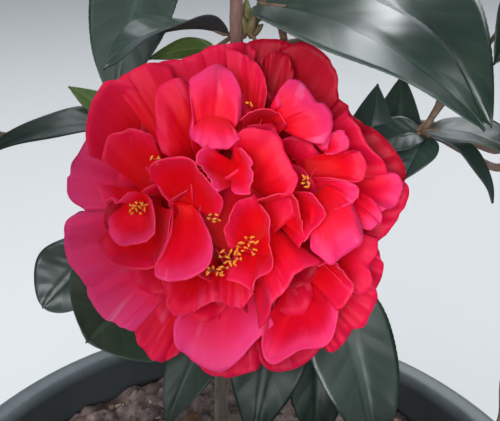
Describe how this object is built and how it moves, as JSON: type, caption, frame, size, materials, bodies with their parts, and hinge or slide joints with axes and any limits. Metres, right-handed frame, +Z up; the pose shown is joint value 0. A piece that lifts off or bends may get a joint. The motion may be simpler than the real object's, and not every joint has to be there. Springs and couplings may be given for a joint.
{
  "type": "potted camellia shrub",
  "caption": "Camellia shrub with glossy dark leaves and one large peony-form bloom, growing in a round tapered pot with a rolled lip.",
  "frame": {"origin": "centre of the pot's flat underside", "axes": "+Z up along the plant; -Y towards the side that the bloom faces; +X to the right as seen from there"},
  "size_m": [0.449, 0.4163, 0.7294],
  "materials": {
    "pot": "dark charcoal moulded plastic, soft bluish sheen",
    "soil": "dry potting soil with bark chips and leaf litter",
    "bark": "thin smooth grey-brown bark, reddish on young wood",
    "foliage": "leathery dark green leaves with a glossy upper face",
    "petal": "soft crimson petals with a hot pink sheen on their lips"
  },
  "bodies": {
    "root": {"pot": "pot", "soil": "soil", "trunk": "bark", "bough_high_front": "bark", "bough_high_left": "bark", "bough_high_right": "bark", "bough_high_back": "bark", "bough_left": "bark", "bough_right": "bark", "bough_front_left": "bark", "bough_front_right": "bark", "bough_back_left": "bark", "bough_back_right": "bark", "bough_low_left": "bark", "bough_low_right": "bark", "bough_low_back": "bark", "bough_low_front": "bark", "foliage_round_bloom_upper": "foliage", "foliage_round_bloom_right": "foliage", "foliage_round_bloom_lower": "foliage", "foliage_high_front": "foliage", "foliage_high_left": "foliage", "foliage_high_right": "foliage", "foliage_high_back": "foliage", "foliage_left": "foliage", "foliage_right": "foliage", "foliage_front_left": "foliage", "foliage_front_right": "foliage", "foliage_back_left": "foliage", "foliage_back_right": "foliage", "foliage_low_left": "foliage", "foliage_low_right": "foliage", "foliage_low_back": "foliage", "foliage_low_front": "foliage", "foliage_top": "foliage", "bloom": "petal"}
  },
  "joints": []
}
